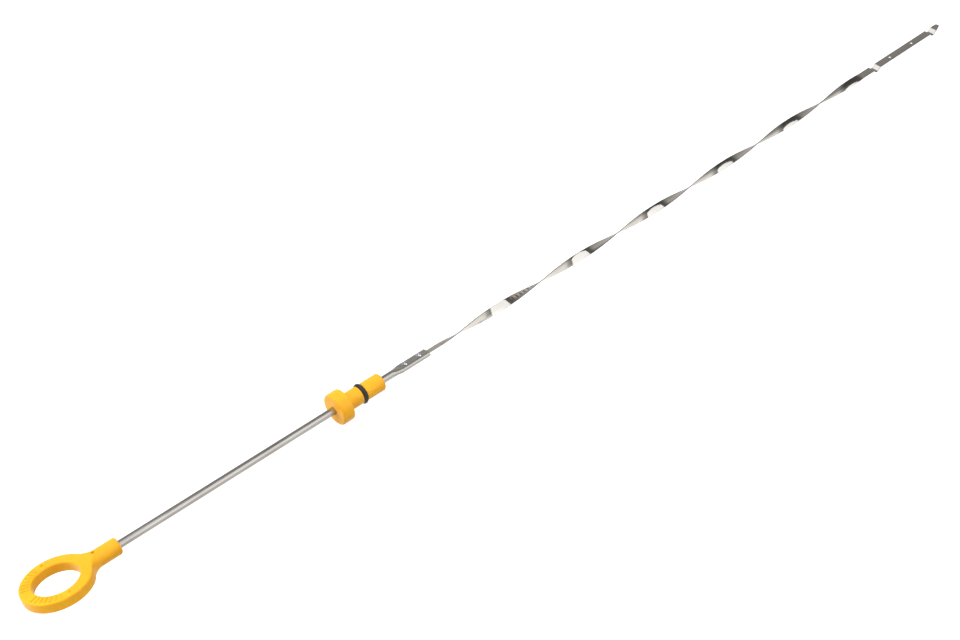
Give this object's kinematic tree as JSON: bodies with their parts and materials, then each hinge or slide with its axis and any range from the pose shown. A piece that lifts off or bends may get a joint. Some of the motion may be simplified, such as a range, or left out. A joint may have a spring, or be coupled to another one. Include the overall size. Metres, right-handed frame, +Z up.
{
  "type": "engine oil dipstick",
  "caption": "Engine oil dipstick with a moulded finger ring, steel tube, sealed stopper and riveted twisted flat blade with crimped level marks",
  "frame": {"origin": "bottom centre of the overall box, on the surface the dipstick lies on", "axes": "+X runs along the dipstick from the pull ring to the tip of the blade, +Z is up as it lies at rest, +Y completes the right-handed set"},
  "size_m": [0.7354, 0.0362, 0.0218],
  "materials": {
    "yellow_plastic": "satin",
    "bright_steel": "polished",
    "black_rubber": "matte",
    "rivet_steel": "satin",
    "blade_steel": "satin"
  },
  "bodies": {
    "root": {"pull_ring": "yellow_plastic", "tube": "bright_steel", "stopper": "yellow_plastic", "sealing_ring": "black_rubber", "rivets": "rivet_steel", "blade": "blade_steel"}
  },
  "joints": []
}
